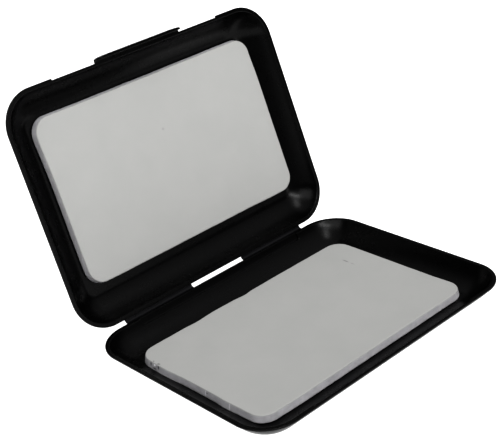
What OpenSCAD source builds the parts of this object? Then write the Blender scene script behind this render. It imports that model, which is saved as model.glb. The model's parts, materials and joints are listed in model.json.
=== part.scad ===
// Ink pad: two shallow moulded dishes joined by a living hinge, each holding a glued foam pad.
// Origin: centre of the base's underside. +X along the hinge, +Y from the latch edge to the
// hinge edge, +Z up. The lid is drawn closed and then swung open about the hinge line.

/* [Case] */
// Width of the case, along the hinge
case_w = 130; // [110:1:150]
// Depth of the case, from the latch edge to the hinge edge
case_d = 94; // [84:1:110]
// Radius of the case's corners, seen from above
corner_r = 14.4; // [13.6:0.2:18]
// Depth of the base, from its rim to its floor
base_depth = 7.2; // [6:0.1:8.5]
// Depth of the lid, from its rim to its floor
lid_depth = 8.8; // [7.4:0.1:10]
// Thickness of the two floors
floor_t = 1.3; // [1:0.1:1.8]
// Thickness of the curved side walls
wall_t = 1.2; // [0.9:0.1:1.5]
// Radius of the concave side walls, in section
cove_r = 15; // [14:0.5:18]
// Width of the flat land around the rim
land_w = 1.7; // [1.2:0.1:2.2]
// Plan width of the curved side walls
cove_w = 9.4; // [8:0.1:9.8]
// Thickness of the rim flange
flange_t = 0.7; // [0.5:0.1:1]

/* [Rim reliefs] */
// Length of the thinned stretch at the front and at the back of the base's rim
relief_l = 84; // [60:1:92]
// Depth of the thinned stretch below the rim
relief_h = 2.3; // [1.5:0.1:3]
// Wall thickness left in the thinned stretch
relief_wall = 0.6; // [0.4:0.1:0.8]
// Length of the set-back stretch of the lid's front edge
setback_l = 81; // [60:1:92]
// How far that stretch is set back
setback = 0.7; // [0.4:0.1:0.8]

/* [Latch tab] */
// Width of the latch tab
tab_w = 41; // [24:1:56]
// Thickness of the latch tab
tab_t = 1.2; // [0.8:0.1:1.8]
// How far the tab reaches past the lid's rim
tab_reach = 3.2; // [2:0.1:5]
// Corner radius of the tab's tip
tab_r = 2; // [1:0.1:2.6]
// Gap between the closed tab and the base's edge
tab_gap = 0.2; // [0.15:0.05:0.4]

/* [Hinge] */
// Opening angle of the lid: 0 is shut, 108 is the rest pose
lid_open = 108; // [60:1:150]
// Distance from each back edge to the hinge line
hinge_gap = 1.02; // [0.8:0.02:1.4]
// Gap between the two rims when the lid is shut
closed_gap = 0.1; // [0.05:0.05:0.3]
// Length of the open slot between the two hinge webs
slot_l = 27; // [16:1:40]
// Length of each hinge web
web_l = 33.4; // [20:0.2:36]
// Thickness of the hinge webs
web_t = 0.4; // [0.3:0.05:0.5]

/* [Foam pads] */
// Width of each foam pad
pad_w = 107.8; // [90:0.2:108]
// Depth of each foam pad
pad_d = 67.4; // [56:0.2:70]
// Thickness of each foam pad
pad_t = 2.9; // [2:0.1:3.4]
// Corner radius of each foam pad
pad_r = 6.8; // [4:0.2:10]
// Thickness of the adhesive film under each pad
glue_t = 0.2; // [0.1:0.05:0.3]
// How far the adhesive film stops short of the pad's edge
glue_inset = 2.6; // [2.5:0.1:4]
// Gap left where a pad's edge is pressed against the curved wall
pad_gap = 0.02; // [0.01:0.01:0.1]
// How far the base's pad sits off centre
base_pad_shift = [-0.8, -0.85];
// How far the lid's pad sits off centre, seen with the lid shut
lid_pad_shift = [2.4, -1.2];

/* [Hidden] */
$fn = 96;
eps = 0.01;
base_h = floor_t + base_depth;
lid_h = floor_t + lid_depth;
hinge_y = case_d / 2 + hinge_gap;
hinge_z = base_h + closed_gap / 2;
web_steps = 6;

// ---- side wall section: x runs outward from the corner's centre, y runs up from the underside

// Centre of the arc that joins the floor to the rim's inner edge in a dish h high
function cove_centre(h) =
    let (rim = [corner_r - land_w, h],
         foot = [corner_r - land_w - cove_w, floor_t],
         chord = rim - foot,
         len = norm(chord),
         rise = sqrt(cove_r * cove_r - len * len / 4))
    (rim + foot) / 2 + [-chord[1], chord[0]] / len * rise;

// Everything under the cove arc grown by t, from y = low up to y = high
module cove_region(h, t, low, high) {
    intersection() {
        translate(cove_centre(h)) circle(r = cove_r + t);
        translate([0, low]) square([corner_r, high - low]);
    }
}

module shell_section(h) {
    difference() {
        union() {
            cove_region(h, wall_t, 0, h);
            translate([0, h - flange_t]) square([corner_r, flange_t]);
        }
        cove_region(h, 0, floor_t, h + eps);
    }
}

// Carries a section around the four corners and along the four sides of the case
module around_case() {
    for (sx = [0, 1], sy = [0, 1])
        mirror([sx, 0, 0]) mirror([0, sy, 0])
            translate([case_w / 2 - corner_r, case_d / 2 - corner_r, 0])
                rotate_extrude(angle = 90) children();
    for (side = [0, 1]) {
        mirror([0, side, 0])
            translate([-case_w / 2 + corner_r, case_d / 2 - corner_r, 0])
                rotate([90, 0, 90]) linear_extrude(case_w - 2 * corner_r) children();
        mirror([side, 0, 0])
            translate([case_w / 2 - corner_r, case_d / 2 - corner_r, 0])
                rotate([90, 0, 0]) linear_extrude(case_d - 2 * corner_r) children();
    }
}

// The block between the four corners' centres, up to height z
module middle_block(z) {
    translate([-case_w / 2 + corner_r, -case_d / 2 + corner_r, 0])
        cube([case_w - 2 * corner_r, case_d - 2 * corner_r, z]);
}

module dish(h) {
    around_case() shell_section(h);
    middle_block(floor_t);
}

// The room inside a dish h high, gap short of its curved walls
module dish_room(h, gap) {
    around_case() cove_region(h, -gap, floor_t, h);
    middle_block(h);
}

// Stretch of wall that is thinned from the inside, at the back edge of the base
module relief_cut() {
    translate([-relief_l / 2, case_d / 2 - corner_r, 0])
        rotate([90, 0, 90]) linear_extrude(relief_l)
            cove_region(base_h, wall_t - relief_wall, base_h - relief_h, base_h + eps);
}

// ---- lid placement

module opened() {
    translate([0, hinge_y, hinge_z]) rotate([-lid_open, 0, 0])
        translate([0, -hinge_y, -hinge_z]) children();
}

// Turns a dish upside down onto the base's rim
module shut_over_base() {
    translate([0, 0, base_h + closed_gap + lid_h]) mirror([0, 0, 1]) children();
}

// ---- foam pads

module rounded_plate(w, d, r, t) {
    linear_extrude(t) {
        square([w - 2 * r, d], center = true);
        square([w, d - 2 * r], center = true);
        for (sx = [-1, 1], sy = [-1, 1])
            translate([sx * (w / 2 - r), sy * (d / 2 - r)]) circle(r = r);
    }
}

module glue_plate(shift) {
    translate([shift[0], shift[1], floor_t])
        rounded_plate(pad_w - 2 * glue_inset, pad_d - 2 * glue_inset, pad_r - glue_inset, glue_t);
}

// A pad in a dish h high; its lower edge gives way where it sits against the curved wall
module foam_plate(h, shift) {
    intersection() {
        translate([shift[0], shift[1], floor_t + glue_t]) rounded_plate(pad_w, pad_d, pad_r, pad_t);
        dish_room(h, pad_gap);
    }
}

// ---- hinge web section, in the Y-Z plane

// A point of the shut lid after the lid is swung open
function swung(p) =
    let (c = cos(lid_open), s = sin(lid_open), q = p - [hinge_y, hinge_z])
    [hinge_y + q[0] * c + q[1] * s, hinge_z - q[0] * s + q[1] * c];

web_start = [case_d / 2, base_h - flange_t / 2];
web_end = swung([case_d / 2, base_h + closed_gap + flange_t / 2]);
web_fold = [web_end[0] - (web_end[1] - web_start[1]) / tan(180 - lid_open), web_start[1]];

function web_point(t) =
    (1 - t) * (1 - t) * web_start + 2 * t * (1 - t) * web_fold + t * t * web_end;

function web_slope(t) =
    (1 - t) * (web_fold - web_start) + t * (web_end - web_fold);

function web_side(t, offset) =
    let (d = web_slope(t) / norm(web_slope(t))) web_point(t) + offset * [-d[1], d[0]];

module web(x0) {
    translate([x0, 0, 0]) rotate([90, 0, 90]) linear_extrude(web_l)
        polygon(concat(
            [for (i = [0 : web_steps]) web_side(i / web_steps, web_t / 2)],
            [for (i = [web_steps : -1 : 0]) web_side(i / web_steps, -web_t / 2)]));
}

// ---- latch tab, drawn on the shut lid

module tab_outline() {
    rim_z = base_h + closed_gap;
    tip_z = rim_z - tab_reach;
    half = tab_w / 2;
    translate([-half, tip_z + tab_r]) square([tab_w, tab_reach + flange_t - tab_r]);
    translate([-half + tab_r, tip_z]) square([tab_w - 2 * tab_r, tab_r]);
    for (sx = [-1, 1])
        translate([sx * (half - tab_r), tip_z + tab_r]) circle(r = tab_r);
}

module latch_tab() {
    translate([0, -case_d / 2 - tab_gap, 0])
        rotate([90, 0, 0]) linear_extrude(tab_t) tab_outline();
    translate([-tab_w / 2, -case_d / 2 - tab_gap - tab_t / 2, base_h + closed_gap])
        cube([tab_w, tab_gap + tab_t / 2 + setback + land_w / 3, flange_t]);
}

module setback_cut() {
    translate([-setback_l / 2, -case_d / 2 - 1, base_h])
        cube([setback_l, 1 + setback, closed_gap + flange_t + 1]);
}

// ---- the named pieces

module base_tray() {
    color("#1c1c1e") difference() {
        dish(base_h);
        relief_cut();
        mirror([0, 1, 0]) relief_cut();
    }
}

module base_adhesive() {
    color("#d8d2bd") glue_plate(base_pad_shift);
}

module base_pad() {
    color("#dcdce0") foam_plate(base_h, base_pad_shift);
}

module lid_tray() {
    color("#1c1c1e") opened() {
        difference() {
            shut_over_base() dish(lid_h);
            setback_cut();
        }
        latch_tab();
    }
}

module lid_adhesive() {
    color("#d8d2bd") opened() shut_over_base() glue_plate(lid_pad_shift);
}

module lid_pad() {
    color("#dcdce0") opened() shut_over_base() foam_plate(lid_h, lid_pad_shift);
}

module hinge_web_left() {
    color("#262629") web(-slot_l / 2 - web_l);
}

module hinge_web_right() {
    color("#262629") web(slot_l / 2);
}

base_tray();
base_adhesive();
base_pad();
lid_tray();
lid_adhesive();
lid_pad();
hinge_web_left();
hinge_web_right();
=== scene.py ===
import json
import math

import bmesh
import bpy
import numpy as np
from mathutils import Matrix, Quaternion, Vector, noise


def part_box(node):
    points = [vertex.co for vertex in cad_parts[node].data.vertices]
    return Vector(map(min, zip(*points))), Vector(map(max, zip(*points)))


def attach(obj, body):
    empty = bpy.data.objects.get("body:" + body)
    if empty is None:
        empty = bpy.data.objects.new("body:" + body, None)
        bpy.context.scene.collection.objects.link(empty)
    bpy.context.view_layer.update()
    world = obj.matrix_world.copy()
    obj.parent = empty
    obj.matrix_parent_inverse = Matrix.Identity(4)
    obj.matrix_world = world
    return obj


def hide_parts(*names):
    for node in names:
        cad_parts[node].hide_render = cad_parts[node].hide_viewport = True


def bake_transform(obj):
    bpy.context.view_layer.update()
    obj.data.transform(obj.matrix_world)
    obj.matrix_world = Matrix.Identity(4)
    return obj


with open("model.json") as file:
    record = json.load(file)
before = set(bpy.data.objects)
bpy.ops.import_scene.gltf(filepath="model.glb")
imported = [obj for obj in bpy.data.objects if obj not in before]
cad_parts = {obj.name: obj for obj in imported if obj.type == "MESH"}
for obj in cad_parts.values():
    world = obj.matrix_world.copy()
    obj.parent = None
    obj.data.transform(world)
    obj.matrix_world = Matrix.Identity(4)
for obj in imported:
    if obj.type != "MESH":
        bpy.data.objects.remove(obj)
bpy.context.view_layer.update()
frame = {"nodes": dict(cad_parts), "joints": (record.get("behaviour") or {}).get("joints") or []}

# Shapes are worked out in millimetres and made into meshes in metres.
MM = 0.001

# ---------------------------------------------------------------- sizes read from the frame

hinge = frame["joints"][0]
hinge_y, hinge_z = (v / MM for v in hinge["pos_m"][1:])
shut_turn = math.radians(hinge["range_deg"][0])

base_low, base_high = (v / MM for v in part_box("base_tray"))
case_w = base_high.x - base_low.x
case_d = base_high.y - base_low.y
base_h = base_high.z
lid_rim_z = 2 * hinge_z - base_h


def swing(points, turn):
    """Turns points about the hinge line; a negative turn shuts the lid."""
    p = np.array(points, float).reshape(-1, 3)
    y, z = p[:, 1] - hinge_y, p[:, 2] - hinge_z
    c, s = math.cos(turn), math.sin(turn)
    return np.stack([p[:, 0], hinge_y + y * c + z * s, hinge_z - y * s + z * c], 1)


def shut_box(node):
    """Corners of one of the lid's CAD nodes, in millimetres, with the lid swung shut."""
    co = [v.co / MM for v in frame["nodes"][node].data.vertices]
    shut = swing(co, shut_turn)
    return Vector(shut.min(0)), Vector(shut.max(0))


lid_h = shut_box("lid_tray")[1].z - lid_rim_z

# ---------------------------------------------------------------- sizes of the moulding

# These repeat the CAD model's parameters, in millimetres.
corner_r = 14.4
floor_t = 1.3
wall_t = 1.2
cove_r = 15.0
cove_w = 9.4
land_w = 1.7
flange_t = 0.7
relief_l = 84.0
relief_h = 2.3
relief_wall = 0.6
setback_l = 81.0
setback = 0.7
tab_w = 41.0
tab_t = 1.2
tab_reach = 3.2
tab_r = 2.0
tab_gap = 0.2
slot_l = 27.0
web_l = 33.4

# The latch tab thins towards its two ends, over this length and to this thickness.
tab_taper = 4.0
tab_end_t = 0.4

# Roundings of the moulding's edges, which the CAD model leaves sharp.
rim_round = 0.28
relief_rim_round = 0.2
relief_lip_round = 0.15
relief_root_round = 0.2
flange_top_round = 0.22
flange_under_round = 0.16
flange_fillet = 0.25
tab_root_fillet = 0.25
tab_round = 0.3

# Half the thickness of a hinge web, in its middle and at its ends.
web_middle_half = 0.16
web_end_half = 0.28

# ---------------------------------------------------------------- mesh helpers


def clear_of_duplicates(mesh, distance=1e-7):
    """Merges points that coincide and turns all faces outward."""
    bm = bmesh.new()
    bm.from_mesh(mesh)
    bmesh.ops.remove_doubles(bm, verts=bm.verts, dist=distance)
    bmesh.ops.recalc_face_normals(bm, faces=bm.faces)
    bm.to_mesh(mesh)
    bm.free()


def mesh_object(name, points_mm, faces):
    """A mesh object from points in millimetres."""
    mesh = bpy.data.meshes.new(name)
    mesh.from_pydata([tuple(p) for p in np.asarray(points_mm) * MM], [], faces)
    clear_of_duplicates(mesh)
    obj = bpy.data.objects.new(name, mesh)
    bpy.context.scene.collection.objects.link(obj)
    return obj


def smooth(obj, sharp_degrees):
    """Smooth shading, apart from edges sharper than the angle."""
    obj.data.shade_smooth()
    obj.data.set_sharp_from_angle(angle=math.radians(sharp_degrees))


def weigh_normals(obj):
    """Keeps the flat faces flat beside their rounded edges."""
    modifier = obj.modifiers.new("weighted_normals", "WEIGHTED_NORMAL")
    modifier.keep_sharp = True


def soft_corner(before, corner, after, count):
    """A short curve from before to after that rounds off corner."""
    a, b, c = (np.array(p, float) for p in (before, corner, after))
    t = np.linspace(0, 1, count)[:, None]
    return (1 - t) ** 2 * a + 2 * t * (1 - t) * b + t ** 2 * c


def grid_faces(rings, count, closed_rings):
    """Quads between rings of count points each."""
    faces = []
    last = rings if closed_rings else rings - 1
    for i in range(last):
        a, b = i * count, (i + 1) % rings * count
        faces += [(a + k, a + k + 1, b + k + 1, b + k) for k in range(count - 1)]
    return faces


# ---------------------------------------------------------------- the two dishes


class Section:
    """Side wall section of a dish h high: r runs outward from the corner's centre, z runs up."""

    # Numbers of points: cove below the relief, cove beside it with its rim corner, rim corner
    # alone, and outside of the wall. Sections that meet have the same number in all.
    lower, upper, corner, outside = 12, 18, 5, 16

    def __init__(self, h):
        self.h = h
        rim = np.array([corner_r - land_w, h])
        foot = np.array([corner_r - land_w - cove_w, floor_t])
        chord = rim - foot
        length = np.linalg.norm(chord)
        rise = math.sqrt(cove_r ** 2 - length ** 2 / 4)
        self.centre = (rim + foot) / 2 + np.array([-chord[1], chord[0]]) / length * rise

    def at(self, radius, z):
        """The point at height z of the arc of that radius about the cove's centre."""
        return np.array([self.centre[0] + math.sqrt(radius ** 2 - (self.centre[1] - z) ** 2), z])

    def arc(self, radius, z0, z1, count):
        """Points of the arc of that radius about the cove's centre, between two heights."""
        a0, a1 = (math.asin((z - self.centre[1]) / radius) for z in (z0, z1))
        a = np.linspace(a0, a1, count)
        return self.centre + radius * np.stack([np.cos(a), np.sin(a)], 1)

    def rim_corner(self, radius, round_by):
        """Rounding where the arc of that radius meets the rim's land."""
        top = self.at(radius, self.h)
        return soft_corner(self.at(radius, self.h - round_by), top, top + [round_by, 0], self.corner)

    def plain_inside(self):
        """The cove up to the rim where the wall has its full thickness."""
        top = self.h - rim_round - 0.08
        arc = self.arc(cove_r, self.h - relief_h, top, self.upper - self.corner)
        return np.concatenate([arc, self.rim_corner(cove_r, rim_round)])

    def thinned_inside(self):
        """The relief: a ledge outward from the cove, then up along the thinned wall."""
        radius = cove_r + wall_t - relief_wall
        low = self.h - relief_h
        lip, root = self.at(cove_r, low), self.at(radius, low)
        lip_r, root_r = relief_lip_round, relief_root_round
        return np.concatenate([
            soft_corner(self.at(cove_r, low - lip_r), lip, lip + [lip_r, 0], 4),
            soft_corner(root - [root_r, 0], root, self.at(radius, low + root_r), 4),
            self.arc(radius, low + 0.45, self.h - 2 * relief_rim_round, 5),
            self.rim_corner(radius, relief_rim_round),
        ])

    def plain_edge(self, set_in=0.0):
        """The flange's outer edge, rounded above and below."""
        r, h, back = corner_r - set_in, self.h, self.h - flange_t
        top_r, under_r = flange_top_round, flange_under_round
        return np.concatenate([
            soft_corner([r - top_r, h], [r, h], [r, h - top_r], 9),
            [[r, h - flange_t / 2]],
            soft_corner([r, back + under_r], [r, back], [r - under_r, back], 9),
        ])

    def tab_edge(self, reach, thick):
        """The latch tab: inner face, rounded tip, outer face, and back to the flange.

        It has as many points as plain_edge, so that the two can meet.
        """
        h, back = self.h, self.h - flange_t
        near, far, tip = corner_r + tab_gap, corner_r + tab_gap + thick, self.h + reach
        root = min(tab_root_fillet, reach)
        drop = min(tab_round, reach)
        turn = min(tab_round, thick * 0.4)
        return np.concatenate([
            soft_corner([near - tab_root_fillet, h], [near, h], [near, h + root], 3),
            [[near, h + reach / 2]],
            soft_corner([near, tip - drop], [near, tip], [near + turn, tip], 4),
            [[(near + far) / 2, tip]],
            soft_corner([far - turn, tip], [far, tip], [far, tip - drop], 4),
            [[far, h]],
            soft_corner([far, back + tab_round], [far, back], [far - turn, back], 4),
            [[near, back]],
        ])

    def profile(self, inside, edge):
        """The whole section, from the floor's inside over the rim to the underside."""
        outer = cove_r + wall_t
        back = self.h - flange_t
        foot = self.at(outer, back)
        fillet = min(flange_fillet, max(0.02, edge[-1][0] - foot[0] - 0.05))
        land = (inside[-1] + edge[0]) / 2
        return np.concatenate([
            [[1.0, floor_t], [2.2, floor_t]],
            self.arc(cove_r, floor_t, self.h - relief_h - 0.3, self.lower),
            inside,
            [land],
            edge,
            soft_corner(foot + [fillet, 0], foot, self.at(outer, back - fillet), 4),
            self.arc(outer, back - 0.5, 0, self.outside),
            [[2.2, 0], [1.0, 0]],
        ])


def side_stations(length, breaks=()):
    """Places along one side: every 2 mm or so, and close together around each break."""
    half = length / 2 - corner_r
    around_break = (-0.5, -0.08, 0.08, 0.5)
    plain = np.linspace(-half, half, round(half))
    keep = [x for x in plain if all(abs(abs(x) - b) > 0.6 for b in breaks)]
    near = [s * (b + e) for b in breaks for s in (-1, 1) for e in around_break]
    return sorted(keep + near)


def around_case(breaks):
    """Stations around the case: corner-centre point, outward direction, side name, place on it."""
    wx, wy = case_w / 2 - corner_r, case_d / 2 - corner_r
    corner_steps = 20
    stations = []
    sides = [
        ("front", 0, -1, [(x, -wy) for x in side_stations(case_w, breaks)]),
        ("right", 1, 0, [(wx, y) for y in side_stations(case_d)]),
        ("back", 0, 1, [(-x, wy) for x in side_stations(case_w, breaks)]),
        ("left", -1, 0, [(-wx, -y) for y in side_stations(case_d)]),
    ]
    for name, nx, ny, places in sides:
        stations += [(x, y, nx, ny, name, x if ny else y) for x, y in places]
        cx, cy = places[-1]
        start = math.atan2(ny, nx)
        for k in range(1, corner_steps):
            a = start + math.pi / 2 * k / corner_steps
            stations.append((cx, cy, math.cos(a), math.sin(a), "corner", 0))
    return stations


def dish(name, h, breaks, section_at, place):
    """Sweeps a section round the case. place turns dish coordinates into the object's."""
    stations = around_case(breaks)
    points = []
    for x, y, nx, ny, side, along in stations:
        profile = section_at(side, along)
        count = len(profile)
        points += [(x + nx * r, y + ny * r, z) for r, z in profile]
    rings = len(stations)
    faces = grid_faces(rings, count, True)
    faces.append([i * count for i in range(rings)])
    faces.append([i * count + count - 1 for i in range(rings)])
    obj = mesh_object(name, place(np.array(points)), faces)
    smooth(obj, 50)
    weigh_normals(obj)
    return obj


def base_section(side, along):
    """The base's wall is thinned from the inside in the middle of its front and back."""
    thinned = side in ("front", "back") and abs(along) < relief_l / 2
    inside = base_wall.thinned_inside() if thinned else base_wall.plain_inside()
    return base_wall.profile(inside, base_wall.plain_edge())


def lid_section(side, along):
    """The lid's front edge is set back in its middle, where the latch tab stands on it."""
    inside = lid_wall.plain_inside()
    near = 0.01
    past = abs(along) - (tab_w / 2 - tab_r)
    from_end = min(max((tab_w / 2 - abs(along)) / tab_taper, 0), 1)
    thick = tab_end_t + (tab_t - tab_end_t) * math.sqrt(from_end * (2 - from_end))
    if side != "front" or abs(along) > setback_l / 2:
        edge = lid_wall.plain_edge()
    elif past > tab_r + near:
        edge = lid_wall.plain_edge(setback)
    elif past > tab_r - near:
        edge = lid_wall.tab_edge(0, thick)
    else:
        drop = tab_r - math.sqrt(max(tab_r ** 2 - max(past, 0) ** 2, 0))
        edge = lid_wall.tab_edge(tab_reach - drop, thick)
    return lid_wall.profile(inside, edge)


def lid_place(points):
    """Turns the dish over, onto the base's rim, and swings it open."""
    over = points * [1, 1, -1] + [0, 0, lid_rim_z + lid_h]
    return swing(over, -shut_turn)


base_wall = Section(base_h)
lid_wall = Section(lid_h)

# ---------------------------------------------------------------- hinge webs


def shut_lid_to_rest(y, z):
    """Where a point of the shut lid's section is at rest."""
    return swing([[0, y, z]], -shut_turn)[0][1:]


def web_path():
    """Centreline of the web's section from the base's back edge to the lid's, in Y and Z."""
    start = np.array([case_d / 2, base_h - flange_t / 2])
    end = shut_lid_to_rest(case_d / 2, lid_rim_z + flange_t / 2)
    lid_way = shut_lid_to_rest(case_d / 2 + 1, lid_rim_z + flange_t / 2) - end
    fold = end + lid_way * (start[1] - end[1]) / lid_way[1]
    tuck = 0.3
    return np.concatenate([
        [start - [tuck, 0]],
        soft_corner(start, fold, end, 9),
        [end - lid_way * tuck],
    ])


def hinge_web(name, x0, x1):
    """A thin bent strip from x0 to x1 that grows thicker towards both cases."""
    path = web_path()
    way = np.gradient(path, axis=0)
    way /= np.linalg.norm(way, axis=1)[:, None]
    across = np.stack([-way[:, 1], way[:, 0]], 1)
    share = np.linspace(-1, 1, len(path))
    half = (web_middle_half + (web_end_half - web_middle_half) * share ** 4)[:, None]
    loop = np.concatenate([path + across * half, (path - across * half)[::-1]])
    xs = np.linspace(x0, x1, 24)
    points = [(x, y, z) for x in xs for y, z in loop]
    count = len(loop)
    faces = []
    for i in range(len(xs) - 1):
        a, b = i * count, (i + 1) * count
        faces += [(a + k, a + (k + 1) % count, b + (k + 1) % count, b + k) for k in range(count)]
    faces.append(range(count))
    faces.append(range((len(xs) - 1) * count, len(xs) * count))
    obj = mesh_object(name, points, faces)
    smooth(obj, 50)
    return obj


# ---------------------------------------------------------------- foam pads

pad_r = 6.8
# Rounding of the pad's top edge, and how far in its cut side leans below that.
pad_edge_r = 0.45
pad_lean = 0.5


class Foam:
    """A die-cut foam pad in dish coordinates: a slab with a wavy cut edge and small tears.

    bulges: (x, y, outward, width) along the whole height of the cut edge.
    tears: (x, y, outward, width) that fade out below the top edge, over tear_depth.
    """

    tear_depth = 2.6
    # Heights of the long and the short waves, in the cut edge and in the printing face.
    edge_waves = (0.09, 0.07)
    face_waves = (0.07, 0.02)
    clearance = 0.03

    def __init__(self, low, high, wall, bulges, tears, seed):
        self.low, self.high, self.wall, self.seed = low, high, wall, seed
        self.middle = (low + high) / 2
        self.w, self.d = high.x - low.x, high.y - low.y
        self.bulges, self.tears = bulges, tears

    def stations(self):
        """(side number, share along it): 0.2 mm steps near the tears and 1 mm steps elsewhere.

        Shares from 1 to 2 go round the corner after the side.
        """
        near_tear, corner_steps = 2.6, 14
        marks = []
        for number in range(4):
            length = (self.d if number % 2 == 0 else self.w) - 2 * pad_r
            fine = round(length / 0.2)
            for k in range(fine):
                x, y, _, _ = self.outline((number, k / fine), 0)
                close = any(math.hypot(x - tx, y - ty) < near_tear for tx, ty, _, _ in self.tears)
                if close or k % 5 == 0:
                    marks.append((number, k / fine))
            marks += [(number, 1 + k / corner_steps) for k in range(corner_steps)]
        return marks

    def outline(self, mark, inset):
        """Point and outward direction at a station of the outline moved in by inset."""
        number, share = mark
        hw, hd, r = self.w / 2 - inset, self.d / 2 - inset, max(pad_r - inset, 0.5)
        along, out = ((hd, hw) if number % 2 == 0 else (hw, hd))
        quarter = number * math.pi / 2
        if share < 1:
            x, y, turn = out, -(along - r) + 2 * (along - r) * share, 0
        else:
            turn = (share - 1) * math.pi / 2
            x, y = out - r + r * math.cos(turn), along - r + r * math.sin(turn)
        c, s = math.cos(quarter), math.sin(quarter)
        nx, ny = math.cos(quarter + turn), math.sin(quarter + turn)
        return self.middle.x + x * c - y * s, self.middle.y + x * s + y * c, nx, ny

    def swell(self, x, y, below_top):
        """How far the cut edge stands out at this place."""
        long, short = self.edge_waves
        broad = long * noise.noise(Vector((x / 11, y / 11, self.seed)))
        fine = short * noise.noise(Vector((x / 2.2, y / 2.2, below_top / 1.5 + self.seed)))
        out = broad + fine
        for bx, by, amount, width in self.bulges:
            out += amount * math.exp(-((x - bx) ** 2 + (y - by) ** 2) / width ** 2)
        for tx, ty, amount, width in self.tears:
            near = math.exp(-((x - tx) ** 2 + (y - ty) ** 2) / width ** 2)
            out += amount * near * max(0, 1 - below_top / self.tear_depth)
        return out

    def lift(self, x, y):
        """Slight unevenness of the printing face."""
        long, short = self.face_waves
        broad = long * noise.noise(Vector((x / 14, y / 14, self.seed + 5)))
        return broad + short * noise.noise(Vector((x / 3.5, y / 3.5, self.seed + 9)))

    def floor_under(self, x, y):
        """Height of the dish under this place, with the clearance."""
        wx, wy = case_w / 2 - corner_r, case_d / 2 - corner_r
        r = math.hypot(max(abs(x) - wx, 0), max(abs(y) - wy, 0))
        centre = self.wall.centre
        arc = centre[1] - math.sqrt(cove_r ** 2 - (r - centre[0]) ** 2)
        return max(arc, floor_t) + self.clearance

    def rings(self):
        """(inset, height) of every ring from the bottom up, and how many make the cut side."""
        t = self.high.z - self.low.z
        top = t - pad_edge_r
        side = [(0.1, 0.0)] + [(pad_lean * h / top, h) for h in (0.12, 0.5, 0.95, 1.4, 1.85)]
        turn = [math.radians(a) for a in (10, 30, 50, 70, 90)]
        edge = [
            (pad_lean + pad_edge_r * (1 - math.cos(a)), top + pad_edge_r * math.sin(a))
            for a in turn
        ]
        face = [(i, t) for i in (1.4, 2.0, 2.8, 3.8, 5.0, 6.6, 8.7, 11.5, 15, 19, 23, 27, 31)]
        return side + edge + face, len(side)

    def build(self, name, place):
        """The pad, its faces set to two material slots: the face's, then the cut side's and
        underside's.
        """
        marks, (rings, side_rings) = self.stations(), self.rings()
        t = self.high.z - self.low.z
        points = []
        for inset, height in rings:
            for mark in marks:
                x, y, nx, ny = self.outline(mark, inset)
                out = self.swell(x, y, t - height) * max(0, 1 - inset / 4)
                x, y = x + nx * out, y + ny * out
                z = self.low.z + height + (self.lift(x, y) if height > t - pad_edge_r else 0)
                points.append((x, y, max(z, self.floor_under(x, y))))
        count = len(marks)
        faces = [(a + k, a + (k + 1) % count, a + count + (k + 1) % count, a + count + k)
                 for a in range(0, (len(rings) - 1) * count, count) for k in range(count)]
        faces.append(list(range(count))[::-1])
        faces.append(range((len(rings) - 1) * count, len(rings) * count))
        obj = mesh_object(name, place(np.array(points)), faces)
        smooth(obj, 60)
        cut = np.array([i < side_rings * count or i == len(faces) - 2 for i in range(len(faces))])
        obj.data.polygons.foreach_set("material_index", cut.astype(np.int32))
        return obj


# ---------------------------------------------------------------- materials


def new_material(name):
    """A node material, with its nodes, its links and its Principled BSDF."""
    material = bpy.data.materials.new(name)
    material.use_nodes = True
    nodes, links = material.node_tree.nodes, material.node_tree.links
    return material, nodes, links, nodes["Principled BSDF"]


def object_noise(nodes, links, scale, detail=3.0, rough=0.55):
    """Noise in the object's own coordinates; scale is in cells per metre."""
    coords = nodes.new("ShaderNodeTexCoord")
    tex = nodes.new("ShaderNodeTexNoise")
    tex.inputs["Scale"].default_value = scale
    tex.inputs["Detail"].default_value = detail
    tex.inputs["Roughness"].default_value = rough
    links.new(coords.outputs["Object"], tex.inputs["Vector"])
    return tex


def ramp(nodes, links, source, low, high):
    """Colours between low and high, spread over the middle of the source's range."""
    node = nodes.new("ShaderNodeValToRGB")
    for element, at, colour in zip(node.color_ramp.elements, (0.3, 0.7), (low, high)):
        element.position = at
        element.color = (*colour, 1)
    links.new(source, node.inputs["Fac"])
    return node.outputs["Color"]


def to_range(nodes, links, source, low, high):
    """Maps a source that runs from 0 to 1 onto low to high."""
    node = nodes.new("ShaderNodeMapRange")
    node.inputs["To Min"].default_value = low
    node.inputs["To Max"].default_value = high
    links.new(source, node.inputs["Value"])
    return node.outputs["Result"]


def bump(nodes, links, height, strength, distance, after=None):
    """A bump of that depth in metres, on top of another one if given."""
    node = nodes.new("ShaderNodeBump")
    node.inputs["Strength"].default_value = strength
    node.inputs["Distance"].default_value = distance
    links.new(height, node.inputs["Height"])
    if after is not None:
        links.new(after, node.inputs["Normal"])
    return node.outputs["Normal"]


def case_plastic(name, dark, light):
    """Near-black satin polypropylene with a fine moulded grain."""
    material, nodes, links, shader = new_material(name)
    cloud = object_noise(nodes, links, 60, 4)
    grain = object_noise(nodes, links, 3500, 2)
    flow = object_noise(nodes, links, 220, 2)
    low, high = ((grey, grey, grey * 1.15) for grey in (dark, light))
    colour = ramp(nodes, links, cloud.outputs["Fac"], low, high)
    links.new(colour, shader.inputs["Base Color"])
    links.new(to_range(nodes, links, flow.outputs["Fac"], 0.24, 0.32), shader.inputs["Roughness"])
    fine = bump(nodes, links, grain.outputs["Fac"], 0.25, 0.00003)
    wide = bump(nodes, links, flow.outputs["Fac"], 0.05, 0.00008, fine)
    links.new(wide, shader.inputs["Normal"])
    shader.inputs["IOR"].default_value = 1.5
    shader.inputs["Specular IOR Level"].default_value = 0.21
    return material


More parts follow.
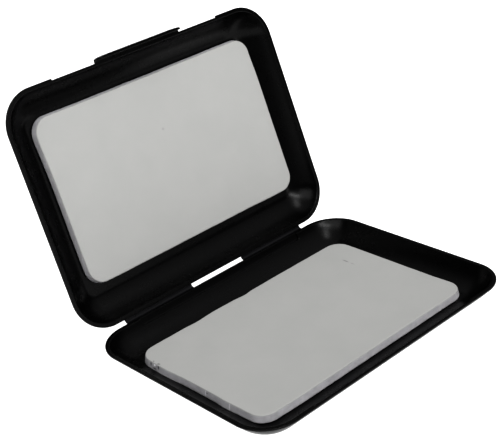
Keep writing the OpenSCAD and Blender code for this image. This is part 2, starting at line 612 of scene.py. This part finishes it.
def soft_mark(nodes, links, centre, half_size, turn, strength):
    """A soft-edged oval patch round a place on the piece: strength inside, nothing outside."""
    coords = nodes.new("ShaderNodeTexCoord")
    local = nodes.new("ShaderNodeMapping")
    local.vector_type = "TEXTURE"
    local.inputs["Location"].default_value = Vector(centre) * MM
    local.inputs["Rotation"].default_value = (0, 0, math.radians(turn))
    local.inputs["Scale"].default_value = Vector(half_size) * MM
    reach = nodes.new("ShaderNodeVectorMath")
    reach.operation = "LENGTH"
    fade = nodes.new("ShaderNodeMapRange")
    fade.interpolation_type = "SMOOTHSTEP"
    fade.inputs["From Min"].default_value = 0.3
    fade.inputs["To Min"].default_value = strength
    fade.inputs["To Max"].default_value = 0
    links.new(coords.outputs["Object"], local.inputs["Vector"])
    links.new(local.outputs["Vector"], reach.inputs[0])
    links.new(reach.outputs["Value"], fade.inputs["Value"])
    return fade.outputs["Result"]


def tint(nodes, links, colour, amount, towards):
    """Mixes the colour towards another by the amount."""
    mix = nodes.new("ShaderNodeMix")
    mix.data_type = "RGBA"
    links.new(amount, mix.inputs["Factor"])
    links.new(colour, mix.inputs["A"])
    mix.inputs["B"].default_value = (*towards, 1)
    return mix.outputs["Result"]


def foam_face(name, marks):
    """Dry fine-celled foam: matte, faint mottling, small closed cells, and a few darker marks, one
    pair of them the painted shade of a crack.
    """
    material, nodes, links, shader = new_material(name)
    cloud = object_noise(nodes, links, 70, 3)
    cells = object_noise(nodes, links, 2400, 3, 0.7)
    dimple = object_noise(nodes, links, 500, 2)
    colour = ramp(nodes, links, cloud.outputs["Fac"], (0.384, 0.385, 0.377), (0.398, 0.398, 0.39))
    # Each mark darkens a soft patch; on the base pad two of them are painted shade.
    for mark in marks:
        colour = tint(nodes, links, colour, soft_mark(nodes, links, *mark), (0.12, 0.12, 0.12))
    links.new(colour, shader.inputs["Base Color"])
    fine = bump(nodes, links, cells.outputs["Fac"], 0.35, 0.00005)
    links.new(bump(nodes, links, dimple.outputs["Fac"], 0.2, 0.0001, fine), shader.inputs["Normal"])
    shader.inputs["Roughness"].default_value = 0.95
    shader.inputs["Specular IOR Level"].default_value = 0.15
    return material


def foam_cut(name, marks, ridge_highlights):
    """The die-cut edge: open cells, coarser and very slightly lilac, with painted shade in its tears
    and painted highlights on its ridges.
    """
    material, nodes, links, shader = new_material(name)
    cloud = object_noise(nodes, links, 260, 4, 0.6)
    cells = object_noise(nodes, links, 1500, 4, 0.75)
    # Lighter than the face: partly the open cells, partly painted light that brightens the side.
    colour = ramp(nodes, links, cloud.outputs["Fac"], (0.4, 0.396, 0.409), (0.51, 0.505, 0.522))
    # Each nick mark darkens the cut edge in a tear: painted shade.
    for mark in marks:
        colour = tint(nodes, links, colour, soft_mark(nodes, links, *mark), (0.1, 0.1, 0.11))
    # Each ridge mark lightens the cut edge on a ridge: painted highlight.
    for ridge_highlight in ridge_highlights:
        colour = tint(nodes, links, colour, soft_mark(nodes, links, *ridge_highlight), (0.95, 0.94, 0.97))
    links.new(colour, shader.inputs["Base Color"])
    links.new(bump(nodes, links, cells.outputs["Fac"], 0.6, 0.00012), shader.inputs["Normal"])
    shader.inputs["Subsurface Weight"].default_value = 0.5
    shader.inputs["Subsurface Radius"].default_value = (1, 1, 1)
    shader.inputs["Subsurface Scale"].default_value = 0.0012
    shader.inputs["Roughness"].default_value = 0.95
    shader.inputs["Specular IOR Level"].default_value = 0.1
    return material


def adhesive_film():
    """Yellowish double-sided film, hidden under each pad."""
    material, nodes, links, shader = new_material("adhesive_film")
    cloud = object_noise(nodes, links, 300, 3)
    colour = ramp(nodes, links, cloud.outputs["Fac"], (0.5, 0.46, 0.36), (0.62, 0.58, 0.47))
    links.new(colour, shader.inputs["Base Color"])
    shader.inputs["Roughness"].default_value = 0.4
    return material


def pale_floor():
    """Plain matte white, very faintly mottled."""
    material, nodes, links, shader = new_material("pale_floor")
    cloud = object_noise(nodes, links, 3, 2)
    colour = ramp(nodes, links, cloud.outputs["Fac"], (0.93, 0.93, 0.93), (0.95, 0.95, 0.95))
    links.new(colour, shader.inputs["Base Color"])
    shader.inputs["Roughness"].default_value = 0.9
    shader.inputs["Specular IOR Level"].default_value = 0.1
    return material


def dress(obj, material):
    """Gives the object this one material."""
    obj.data.materials.clear()
    obj.data.materials.append(material)


# ---------------------------------------------------------------- camera, light and floor


def make_camera():
    """Stands where the object is seen from its front left, a little above it."""
    azimuth, elevation, roll = (math.radians(v) for v in (40.13, 26.32, 7.25))
    aim = Vector((-5.74, 17.25, 43.34)) * MM
    distance = 0.446
    focal_mm = 87.43
    ahead = Vector((math.sin(azimuth) * math.cos(elevation),
                    math.cos(azimuth) * math.cos(elevation), -math.sin(elevation)))
    level = Matrix.Rotation(roll, 3, ahead)
    right = level @ ahead.cross(Vector((0, 0, 1))).normalized()
    up = right.cross(ahead)
    data = bpy.data.cameras.new("camera")
    data.lens = focal_mm
    data.sensor_width = 36
    data.clip_start, data.clip_end = 0.01, 10
    camera = bpy.data.objects.new("camera", data)
    turn = Matrix((right, up, -ahead)).transposed()
    camera.matrix_world = Matrix.Translation(aim - ahead * distance) @ turn.to_4x4()
    bpy.context.scene.collection.objects.link(camera)
    bpy.context.scene.camera = camera


def area_light(name, azimuth, elevation, distance, size, watts, spin=0):
    """A soft box aimed at the object, with its distance and size in metres.

    Azimuth is measured from the front towards the right, in degrees, and spin is about its aim.
    """
    a, e = math.radians(azimuth), math.radians(elevation)
    way = Vector((math.sin(a) * math.cos(e), -math.cos(a) * math.cos(e), math.sin(e)))
    data = bpy.data.lights.new(name, "AREA")
    data.shape = "RECTANGLE"
    data.size, data.size_y = size
    data.energy = watts
    light = bpy.data.objects.new(name, data)
    turn = way.to_track_quat("Z", "Y") @ Quaternion((0, 0, 1), math.radians(spin))
    place = Matrix.Translation(Vector((0, 0.02, 0.03)) + way * distance)
    light.matrix_world = place @ turn.to_matrix().to_4x4()
    bpy.context.scene.collection.objects.link(light)
    return light


def floor_link(name, floor, state):
    """A light-linking collection that gives the floor alone to a light, or keeps it from one."""
    link = bpy.data.collections.new(name)
    link.objects.link(floor)
    link.collection_objects[0].light_linking.link_state = state
    return link


def light_floor(floor):
    """Lights the floor evenly by itself, so that the studio lights cast no shadow on it."""
    data = bpy.data.lights.new("floor_light", "SUN")
    data.energy = 2.9
    data.use_shadow = False
    light = bpy.data.objects.new("floor_light", data)
    light.light_linking.receiver_collection = floor_link("floor_only", floor, "INCLUDE")
    bpy.context.scene.collection.objects.link(light)


def glow(nodes, links, towards, outer, inner, dim, bright):
    """Dim beyond the outer angle from one direction, bright within the inner one, soft between."""
    coords = nodes.new("ShaderNodeTexCoord")
    facing = nodes.new("ShaderNodeVectorMath")
    facing.operation = "DOT_PRODUCT"
    facing.inputs[1].default_value = Vector(towards).normalized()
    rise = nodes.new("ShaderNodeMapRange")
    rise.interpolation_type = "SMOOTHSTEP"
    rise.inputs["From Min"].default_value = math.cos(math.radians(outer))
    rise.inputs["From Max"].default_value = math.cos(math.radians(inner))
    rise.inputs["To Min"].default_value = dim
    rise.inputs["To Max"].default_value = bright
    links.new(coords.outputs["Generated"], facing.inputs[0])
    links.new(facing.outputs["Value"], rise.inputs["Value"])
    return rise.outputs["Result"]


def make_world():
    """A dim studio with a soft glow overhead. The camera itself sees plain white past the floor."""
    world = bpy.data.worlds.new("studio")
    world.use_nodes = True
    nodes, links = world.node_tree.nodes, world.node_tree.links
    sky = glow(nodes, links, towards=(0.22, -0.06, 0.97), outer=60, inner=30, dim=0.05, bright=0.57)
    studio, plain = nodes["Background"], nodes.new("ShaderNodeBackground")
    studio.inputs["Color"].default_value = plain.inputs["Color"].default_value = (1, 1, 1, 1)
    links.new(sky, studio.inputs["Strength"])
    path, pick = nodes.new("ShaderNodeLightPath"), nodes.new("ShaderNodeMixShader")
    links.new(path.outputs["Is Camera Ray"], pick.inputs["Fac"])
    links.new(studio.outputs["Background"], pick.inputs[1])
    links.new(plain.outputs["Background"], pick.inputs[2])
    links.new(pick.outputs["Shader"], nodes["World Output"].inputs["Surface"])
    bpy.context.scene.world = world


def make_lights(floor):
    """Soft boxes for the object alone, a sun for the floor alone, and the world's glow."""
    lights = [
        area_light("key", -11, 42, 3.0, (1.9, 0.42), 31.5, spin=-36),
        area_light("left_fill", -62, 42, 3.0, (2.2, 1.8), 24),
        area_light("overhead", 14, 68, 2.5, (0.6, 1.4), 11, spin=-50),
        area_light("front_card", 14, 10, 3.0, (1.3, 0.85), 8.5),
    ]
    off_floor = floor_link("off_floor", floor, "EXCLUDE")
    for light in lights:
        light.light_linking.receiver_collection = off_floor
    light_floor(floor)
    make_world()
    bpy.context.scene.view_settings.view_transform = "Standard"
    bpy.context.scene.view_settings.look = "High Contrast"


def make_floor():
    """A plain floor 12 m square, a hair below the case's underside."""
    half = 6.0
    points = [(x, y, 0) for x in (-half, half) for y in (-half, half)]
    floor = mesh_object("floor", np.array(points) / MM, [(0, 1, 3, 2)])
    floor.location.z = -0.02 * MM
    dress(floor, pale_floor())
    return floor


# ---------------------------------------------------------------- the object


def make_case(plastic, painted_sheen_hinge_plastic):
    """The two dishes and the two hinge webs; the webs' lighter plastic is a painted sheen."""
    base = dish("base_case", base_h, [relief_l / 2], base_section, lambda p: p)
    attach(base, "base")
    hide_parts("base_tray")
    lid_breaks = [tab_w / 2 - tab_r * k for k in (0, 0.04, 0.15, 0.4, 0.75)] + [setback_l / 2]
    lid = dish("lid_case", lid_h, lid_breaks, lid_section, lid_place)
    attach(lid, "lid")
    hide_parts("lid_tray")
    for side, x0 in (("left", -slot_l / 2 - web_l), ("right", slot_l / 2)):
        web = hinge_web(f"hinge_web_{side}_skin", x0, x0 + web_l)
        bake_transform(web)
        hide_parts(f"hinge_web_{side}")
        dress(web, painted_sheen_hinge_plastic)
    for piece in (base, lid):
        dress(piece, plastic)


def make_pads():
    """Both pads. A mark is a centre, a half size, a turn in degrees and a strength."""
    low, high = (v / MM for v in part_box("base_pad"))
    bulges = [
        (-44, 33, 0.25, 12), (-26, 33, -0.45, 3.5), (-16, 33, 0.25, 7), (-1.5, 33, -0.8, 3.2),
        (53, -27, 0.4, 5), (-55, -16, 0.3, 5), (-55, 17, 0.45, 7), (-48, -34, -0.4, 8),
    ]
    tears = [
        (-55, 24.6, -1.1, 0.35), (-55, 23.4, 0.45, 0.6), (-55, 22.4, -1.3, 0.3),
        (-55, 21.5, 0.4, 0.5), (-55, 20.7, -0.9, 0.3), (-55, -5.2, -0.7, 0.3),
        (-55, -6.2, 0.35, 0.5), (-55, -7.2, -0.8, 0.3), (-55, -19.3, 0.5, 0.35),
        (-55, -18.3, -0.35, 0.5),
    ]
    base_pad = Foam(low, high, base_wall, bulges, tears, 3).build("base_foam", lambda p: p)
    # The first two marks darken a small crack in the face: painted shade. The other two are darker
    # patches beside the torn corner.
    base_face_marks_and_crack_shade = [
        ((41.7, 17.3, high.z), (0.5, 2.2, 1), 0, 0.5),
        ((41.7, 13.6, high.z), (0.4, 1.6, 1), 0, 0.25),
        ((-53.9, 21.0, high.z), (0.5, 0.9, 1), 20, 0.85),
        ((-53.8, 24.0, high.z), (0.35, 0.7, 1), -30, 0.6),
    ]
    # Dark patches in the tears of the cut edge: painted shade.
    base_nick_shade = [
        ((-55, 24.9, high.z - 0.9), (3, 0.55, 1.3), 0, 0.9),
        ((-55, 22.6, high.z - 2.1), (3, 1.4, 0.5), 0, 0.9),
        ((-55, 20.4, high.z - 0.8), (3, 0.6, 1.3), 0, 0.95),
        ((-55, 21.4, high.z - 0.1), (3, 1.0, 0.4), 0, 0.7),
        ((-55, -5.8, high.z - 1.1), (3, 0.7, 0.4), 0, 0.6),
    ]
    # Light patches on ridges of the cut edge: painted highlights.
    base_ridge_highlights = [
        ((-55, 22.6, high.z - 0.8), (3, 0.8, 0.6), 0, 0.9),
        ((-55, -5.0, high.z - 1.2), (3, 0.4, 1.7), 0, 0.45),
        ((-55, -17.6, high.z - 1.3), (3, 0.4, 1.8), 0, 0.45),
    ]

    low, high = shut_box("lid_pad")
    bulges = [(56, -27, -0.5, 6), (-51, -27, 0.4, 8), (-48, 32, -0.25, 8), (45, 32, 0.25, 8),
              (-44, -35, 0.12, 10)]
    tears = [(3.8, -35, 0.35, 0.4), (4.6, -35, -0.3, 0.4)]
    top = lid_rim_z + lid_h
    low, high = Vector((low.x, low.y, top - high.z)), Vector((high.x, high.y, top - low.z))
    lid_pad = Foam(low, high, lid_wall, bulges, tears, 8).build("lid_foam", lid_place)
    speck = lid_place(np.array([[2.1, -12.8, high.z]]))[0]
    lid_marks = [(speck, (0.8, 0.8, 0.8), 0, 0.2)]
    for pad, body, marks, nick_shade, ridge_highlights in (
            (base_pad, "base", base_face_marks_and_crack_shade, base_nick_shade, base_ridge_highlights),
            (lid_pad, "lid", lid_marks, [], [])):
        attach(pad, body)
        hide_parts(f"{body}_pad")
        pad.data.materials.append(foam_face(f"foam_face_{body}", marks))
        pad.data.materials.append(foam_cut(f"foam_cut_{body}", nick_shade, ridge_highlights))


def finish_cad_nodes(film):
    """The adhesive films keep their CAD meshes."""
    for node in ("base_adhesive", "lid_adhesive"):
        dress(frame["nodes"][node], film)


make_camera()
make_lights(make_floor())
# The hinge webs get a lighter copy of the case plastic: painted sheen.
make_case(case_plastic("case_plastic", 0.0005, 0.0009), case_plastic("painted_sheen_hinge_plastic", 0.004, 0.009))
make_pads()
finish_cad_nodes(adhesive_film())
